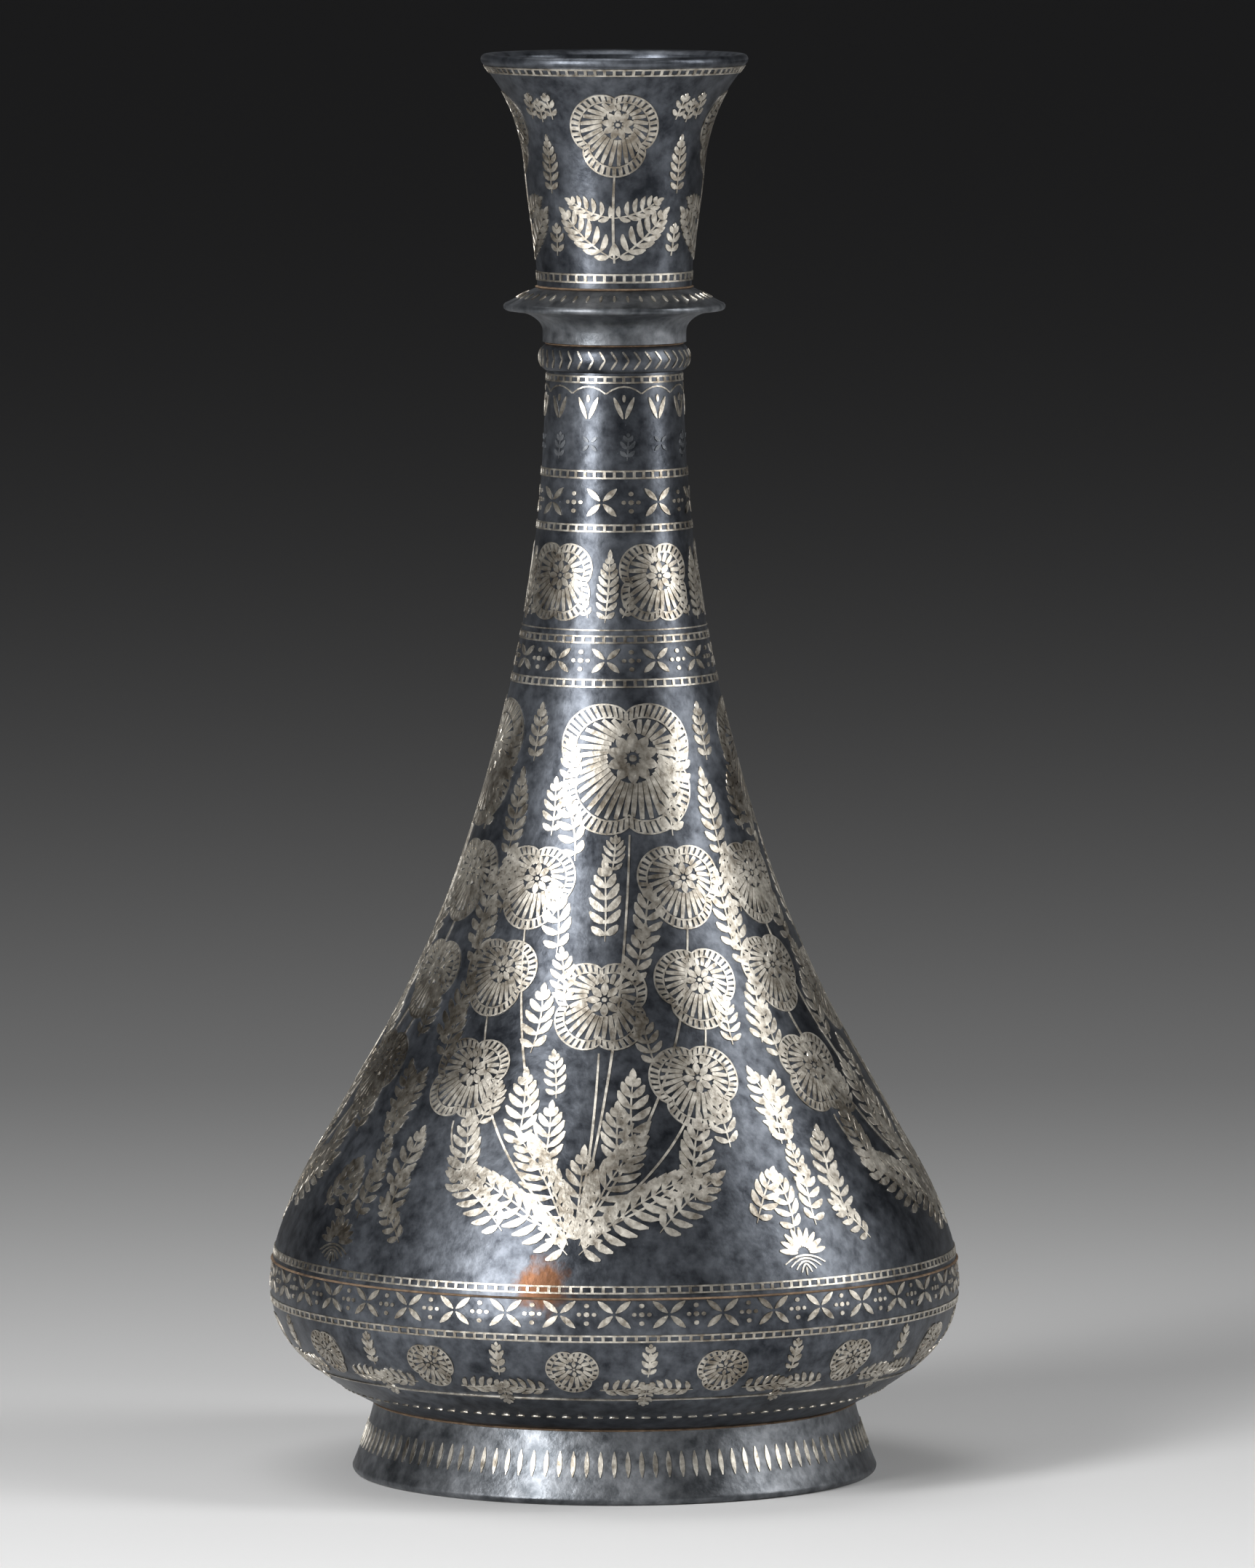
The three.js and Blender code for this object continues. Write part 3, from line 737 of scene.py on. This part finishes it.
# Cross bands: height, count, first angle, reach, rise and half width of the petals, with a
# cluster of dots between each two crosses
crossBands = {
    "neck_upper_crosses": (165.2, 8, -9.7, 2.5, 2.3, 0.62),
    "neck_lower_crosses": (138.9, 12, -5.0, 2.3, 2.0, 0.6),
    "belly_crosses": (33.9, 40, 0.0, 2.7, 2.2, 0.62),
}
cluster = [dot(0, 0, 0.5), dot(0, 1.45, 0.45), dot(0, -1.45, 0.45), dot(1.25, 0, 0.4), dot(-1.25, 0, 0.4)]
for name, (height, count, first, reach, tall, half) in crossBands.items():
    rows = [laid(crossPetals(reach, tall, half), turnsOf(first, count), height)]
    rows.append(laid(cluster, turnsOf(first + 180 / count, count), height))
    strokes(name, bodySurface, np.concatenate(rows))

# Worn zone: outlines that have lost their silver, in the colour of worn zinc
wornZone = {
    "count": 6, "sprig": 4.2, "sprigFirst": 10, "sprigHeight": 172.2,
    "cross": (1.2, 1.2, 0.35), "crossFirst": 40, "crossHeight": 175,
}
sprigAngles = turnsOf(wornZone["sprigFirst"], wornZone["count"])
crossAngles = turnsOf(wornZone["crossFirst"], wornZone["count"])
rows = [
    laid(sprig(wornZone["sprig"]), sprigAngles, wornZone["sprigHeight"]),
    laid(crossPetals(*wornZone["cross"]), crossAngles, wornZone["crossHeight"]),
]
strokes("worn_zone_outlines", bodySurface, np.concatenate(rows), material=worn)

# Neck: five flowers with a leaf and two sprigs between, over a thin line
neckInlay = {
    "count": 5, "first": 30, "flower": (6.9, 4, 8, 24), "flowerHeight": 151.8,  # radius, lobes, petals, hatch
    "between": 36, "leaf": (11, 2.5, 0.06, 8), "leafHeight": 145.2, "line": 143.95, "lineHalf": 0.14,
    "sprig": 3.6, "sprigAway": 11, "sprigHeight": 146, "sprigTurn": 25,
}
neckAngles = turnsOf(neckInlay["first"], neckInlay["count"])
neckRows = flower(*neckInlay["flower"])
strokes("neck_flower_plates", bodySurface, laid(neckRows, neckAngles, neckInlay["flowerHeight"]),
        nodes=["neck_flower_%d" % (k + 1) for k in range(neckInlay["count"])])
betweenAngles = neckAngles + neckInlay["between"]
rows = [
    laid(leaf(*neckInlay["leaf"]), betweenAngles, neckInlay["leafHeight"]),
    hoopRows(bodySurface, neckInlay["line"], neckInlay["lineHalf"]),
]
for side in (-1, 1):
    rows.append(laid(sprig(neckInlay["sprig"]), betweenAngles + side * neckInlay["sprigAway"],
                     neckInlay["sprigHeight"], turn=-side * neckInlay["sprigTurn"]))
strokes("neck_foliage", bodySurface, np.concatenate(rows))
print("neck inlay made")

# Main plants: one root, curved stems to eight flowers, and leaves between
plant = {
    "count": 4, "rootAngle": -6.8, "rootHeight": 46.0, "stemHalf": 0.26, "stemEnd": 0.7,
    "stemReach": 0.9, "stemSwing": 1.1, "stemMiddle": 0.45,
    # angle, height, radius, lobes, petals, hatch
    "flowers": {
        "crown": (6.1, 121.0, 11.9, 4, 10, 36), "pair_left": (-30.5, 101.8, 7.3, 3, 8, 26),
        "pair_right": (24.7, 102.0, 7.3, 3, 8, 26), "third_left": (-36.1, 87.0, 6.9, 3, 8, 26),
        "third_middle": (-3.8, 82.5, 8.2, 4, 8, 26), "third_right": (24.4, 85.5, 7.2, 3, 8, 26),
        "fourth_left": (-36.0, 70.5, 7.6, 4, 8, 26), "fourth_right": (18.9, 70.0, 7.6, 3, 8, 26),
    },
    "inFrame": ("crown", "pair_left", "pair_right"),
}


# Stem: from the root to just under the flower, swung out past it on the way
def stemRow(angle, height, radius):
    s = bodySurface["s"]
    z = bodySurface["z"]
    tipHeight = height - radius * plant["stemReach"]
    up = float(np.interp(tipHeight, z, s) - np.interp(plant["rootHeight"], z, s))
    across = math.radians(angle - plant["rootAngle"]) * float(bodyRadius(tipHeight))
    return [0, 0, across * plant["stemSwing"], up * plant["stemMiddle"], across, up,
            plant["stemHalf"], plant["stemEnd"]]


rows = []
rootAngles = turnsOf(plant["rootAngle"], plant["count"])
for name, (angle, height, radius, lobes, petals, hatch) in plant["flowers"].items():
    copies = plant["count"] if name in plant["inFrame"] else 0
    nodes = ["%s_flower_%d" % (name, k + 1) for k in range(copies)]
    bloom = laid(flower(radius, lobes, petals, hatch), turnsOf(angle, plant["count"]), height)
    strokes(name + "_flower_plates", bodySurface, bloom, nodes=nodes)
    rows.append(laid([stemRow(angle, height, radius)], rootAngles, plant["rootHeight"]))
strokes("plant_stems", bodySurface, np.concatenate(rows), steps=24)

# Leaves: angle, height, turn to the left from upright, length, width, bend
plantLeaves = [
    (-7, 46, 0, 15, 4.4, 0.05), (-8, 45, 38, 21, 5.2, 0.2), (-6, 45, -38, 21, 5.2, -0.2),
    (-8, 43.5, 68, 24, 5.0, 0.25), (-6, 43.5, -68, 24, 5.0, -0.25), (-30, 52, 20, 14, 4.2, 0.2),
    (15, 52, -22, 14, 4.2, -0.2), (-20, 60, 12, 13, 4.0, 0.15), (4, 60, -10, 13, 4.0, -0.15),
    (-21, 75, 10, 11, 3.6, 0.2), (10, 73, 5, 9, 3.0, -0.1), (-52, 60, 25, 13, 4.0, 0.2),
    (36, 60, -25, 12, 4.0, -0.2), (-18, 91, 20, 11, 3.5, 0.2), (10, 92, -16, 10, 3.4, -0.15),
    (-3, 93, 4, 13, 3.6, 0.05), (40, 76, -6, 12, 3.4, 0.1), (40, 91, 4, 13, 3.2, 0.08),
    (-15, 106, 28, 11, 3.2, 0.25), (24, 110, -10, 11, 3.2, -0.1), (45, 106, 5, 14, 3.2, 0.05),
    (49, 122, 0, 9, 2.6, 0.0), (33, 46, 18, 10, 3.4, 0.25), (46, 47, -14, 9, 3.2, -0.2),
    (-52, 47, -18, 10, 3.2, -0.2), (38, 53, 0, 8, 2.6, 0.0), (-13, 68, 15, 8, 2.6, 0.1),
    (49, 108, 170, 7, 2.4, 0.1), (-40, 44, 55, 9, 2.8, 0.2),
    (-20, 47, 60, 14, 4.2, 0.2), (8, 47, -60, 14, 4.2, -0.2), (-14, 56, 5, 12, 4.0, 0.1),
    (1, 56, -5, 12, 4.0, -0.1), (-30, 63, -10, 8, 3.2, 0.1), (24, 60, 12, 9, 3.4, 0.1),
    (-46, 73, 8, 10, 3.4, 0.1), (31, 76, -10, 8, 3.0, -0.1), (5, 86, -8, 10, 3.2, 0.1),
    (-14, 83, 14, 9, 3.0, 0.1), (-26, 110, 8, 9, 2.8, 0.1), (-20, 117, 12, 9, 2.6, 0.15),
    (32, 118, -8, 10, 2.6, -0.1), (-48, 88, 0, 11, 3.0, 0.1), (-42, 97, 0, 9, 2.8, 0.1),
    (-1, 104, 0, 6, 2.6, 0.1), (-46, 52, -5, 11, 3.6, 0.1), (26, 48, -35, 10, 3.4, -0.1),
]
pairing = {"least": 5, "spacing": 1.9}
rows = []
for angle, height, turn, length, width, bend in plantLeaves:
    pairs = max(pairing["least"], int(length / pairing["spacing"]))
    rows.append(laid(leaf(length, width, bend, pairs), turnsOf(angle, plant["count"]), height, turn=turn))
strokes("plant_leaves", bodySurface, np.concatenate(rows))

# Half poppies: a fan of petals over a little hill of nested arcs, between the plants
poppy = {
    "angle": 34, "height": 42.6, "petals": 9, "fan": 160, "petal": (1.2, 4.6, 0.62, 0.3),
    "arcs": 5, "hill": 4, "hillFoot": -1.6, "hillCrown": 1.2, "arcStep": 0.5, "arcHalf": 0.2, "arcEnd": 0.6,
}
rows = []
near, far, half, end = poppy["petal"]
for degrees in np.linspace(-poppy["fan"] / 2, poppy["fan"] / 2, poppy["petals"]):
    a = math.radians(degrees)
    rows.append(bar(*around((0, 0), near, a), *around((0, 0), far, a), half, end))
for k in range(poppy["arcs"]):
    side = poppy["hill"] - k
    foot = poppy["hillFoot"] - poppy["arcStep"] * k
    crown = poppy["hillCrown"] - poppy["arcStep"] * k
    rows.append([-side, foot, 0, crown, side, foot, poppy["arcHalf"], poppy["arcEnd"]])
poppyAngles = turnsOf(poppy["angle"], plant["count"])
strokes("hill_poppies", bodySurface, laid(rows, poppyAngles, poppy["height"]), steps=6)

# Lower band: flowers with a leaf on each side and three sprigs between, the lowest of them
# upside down, over a thin line
lowerBand = {
    "count": 14, "first": -7.1, "flower": (4.3, 3, 6, 16), "wire": 0.13, "flowerHeight": 24.0,
    "line": 18.9, "lineHalf": 0.2, "lineSegments": 120, "leaf": (7.5, 2.7, 0.25, 5), "leafAway": 4.6,
    "leafHeight": 20.8, "leafTurn": 68, "sprig": 4.2, "between": 12.86, "sprigHeight": 22.0,
    "sprigShift": 1.2, "topSprigHeight": 24.6,
}
bandAngles = turnsOf(lowerBand["first"], lowerBand["count"])
betweenAngles = bandAngles + lowerBand["between"]
small = sprig(lowerBand["sprig"])
rows = [
    laid(flower(*lowerBand["flower"], lowerBand["wire"]), bandAngles, lowerBand["flowerHeight"]),
    hoopRows(bodySurface, lowerBand["line"], lowerBand["lineHalf"], lowerBand["lineSegments"]),
]
leafRows = leaf(*lowerBand["leaf"])
for side in (-1, 1):
    rows.append(laid(leafRows, bandAngles + side * lowerBand["leafAway"], lowerBand["leafHeight"],
                     turn=-side * lowerBand["leafTurn"], mirror=side))
    rows.append(laid(small, betweenAngles, lowerBand["sprigHeight"] + side * lowerBand["sprigShift"],
                     turn=90 - side * 90))
rows.append(laid(small, betweenAngles, lowerBand["topSprigHeight"]))
strokes("lower_band_flowers", bodySurface, np.concatenate(rows))

# A row of dashes over the foot, and a row of tears on it
dashes = {"count": 110, "height": 15.15, "dash": bar(-0.75, 0, 0.75, 0, 0.3, 0.4)}
strokes("seat_dashes", bodySurface, laid([dashes["dash"]], turnsOf(0, dashes["count"]), dashes["height"]))
tears = {"count": 116, "height": 6.65, "tear": bar(0, -2.2, 0, 2.2, 0.52, 0.15)}
strokes("foot_tears", footSurface, laid([tears["tear"]], turnsOf(0, tears["count"]), tears["height"]))
print("belly inlay made")

# Stage, in metres: a floor painted darker with distance as painted shade, three softboxes and a grey world
studio = {
    "floorSide": 4.0, "floorFront": -2.6, "floorBack": 9.0, "floorRoughness": 0.85,
    "shadeFrom": -0.2, "shadeTo": 1.4,
    # greys of the floor's painted shade, lighter near the vase and darker further back
    "paintedShadeRamp": [(0.0, 0.75), (0.12, 0.62), (0.2, 0.5), (0.34, 0.34), (0.5, 0.2), (1.0, 0.19)],
    # place, size, power
    "lamps": {
        "left softbox": ((-0.75, -0.95, 0.55), (0.3, 1.1), 24.0),
        "right softbox": ((1.0, -0.25, 0.6), (0.3, 1.0), 9.0),
        "top softbox": ((-0.2, 0.1, 1.3), (0.9, 0.9), 6.0),
    },
    "aim": (0, 0, 0.12),
    "worldLow": (0.42, 0.42, 0.42), "worldHigh": (0.055, 0.055, 0.058), "worldStrength": 0.55,
    "worldShift": 0.1, "worldTop": 0.35,
}


# Floor: its grey follows how far back it lies, painted shade for the light falling off with distance
def layFloor():
    side, front, back = studio["floorSide"], studio["floorFront"], studio["floorBack"]
    mesh = bpy.data.meshes.new("floor")
    corners = [(-side, front, 0), (side, front, 0), (side, back, 0), (-side, back, 0)]
    mesh.from_pydata(corners, [], [(0, 1, 2, 3)])
    floor = bpy.data.objects.new("floor", mesh)
    bpy.context.scene.collection.objects.link(floor)
    pale = bpy.data.materials.new("floor with painted shade")
    pale.use_nodes = True
    tree = pale.node_tree
    shader = tree.nodes["Principled BSDF"]
    shader.inputs["Roughness"].default_value = studio["floorRoughness"]
    place = node(tree, "ShaderNodeTexCoord", (-900, 0))
    split = node(tree, "ShaderNodeSeparateXYZ", (-700, 0))
    share = node(tree, "ShaderNodeMapRange", (-500, 0))
    setRange(share, studio["shadeFrom"], studio["shadeTo"])
    # painted shade: this ramp darkens the floor's colour with distance in place of the light's falloff
    paintedShadeRamp = node(tree, "ShaderNodeValToRGB", (-300, 0))
    paintedShadeRamp.color_ramp.interpolation = "B_SPLINE"
    setRamp(paintedShadeRamp, [(position, (grey, grey, grey)) for position, grey in studio["paintedShadeRamp"]])
    tree.links.new(place.outputs["Object"], split.inputs["Vector"])
    tree.links.new(split.outputs["Y"], share.inputs["Value"])
    tree.links.new(share.outputs["Result"], paintedShadeRamp.inputs["Fac"])
    tree.links.new(paintedShadeRamp.outputs["Color"], shader.inputs["Base Color"])
    mesh.materials.append(pale)


# Softbox: a rectangular lamp turned towards the middle of the vase
def softBox(name, at, size, power):
    lamp = bpy.data.lights.new(name, "AREA")
    lamp.shape = "RECTANGLE"
    lamp.size, lamp.size_y = size
    lamp.energy = power
    box = bpy.data.objects.new(name, lamp)
    box.location = at
    aim = np.array(studio["aim"]) - np.array(at)
    flat = math.hypot(aim[0], aim[1])
    box.rotation_euler = (math.pi / 2 + math.atan2(aim[2], flat), 0, math.atan2(-aim[0], aim[1]))
    bpy.context.scene.collection.objects.link(box)


# World: a grey that darkens upwards
def greyWorld():
    world = bpy.data.worlds.new("studio")
    bpy.context.scene.world = world
    world.use_nodes = True
    tree = world.node_tree
    backdrop = tree.nodes["Background"]
    backdrop.inputs["Strength"].default_value = studio["worldStrength"]
    place = node(tree, "ShaderNodeTexCoord", (-900, 0))
    split = node(tree, "ShaderNodeSeparateXYZ", (-700, 0))
    shift = node(tree, "ShaderNodeMath", (-550, 0), operation="ADD")
    shift.inputs[1].default_value = studio["worldShift"]
    tone = node(tree, "ShaderNodeValToRGB", (-400, 0))
    setRamp(tone, [(0.0, studio["worldLow"]), (studio["worldTop"], studio["worldHigh"])])
    tree.links.new(place.outputs["Generated"], split.inputs["Vector"])
    tree.links.new(split.outputs["Z"], shift.inputs[0])
    tree.links.new(shift.outputs[0], tone.inputs["Fac"])
    tree.links.new(tone.outputs["Color"], backdrop.inputs["Color"])


layFloor()
for name, (at, size, power) in studio["lamps"].items():
    softBox(name, at, size, power)
greyWorld()

# Camera at the photograph's angle, in metres and degrees
viewpoint = {"lens": 310.2, "sensor": 36, "place": (0.0022, -2.273, 0.32), "pitch": 5.11, "clipEnd": 20}
lens = bpy.data.cameras.new("camera")
lens.lens = viewpoint["lens"]
lens.sensor_width = viewpoint["sensor"]
lens.clip_end = viewpoint["clipEnd"]
camera = bpy.data.objects.new("camera", lens)
camera.location = viewpoint["place"]
camera.rotation_euler = (math.radians(90 - viewpoint["pitch"]), 0, 0)
bpy.context.scene.collection.objects.link(camera)
bpy.context.scene.camera = camera
bpy.context.scene.view_settings.view_transform = "Standard"
print("stage set")
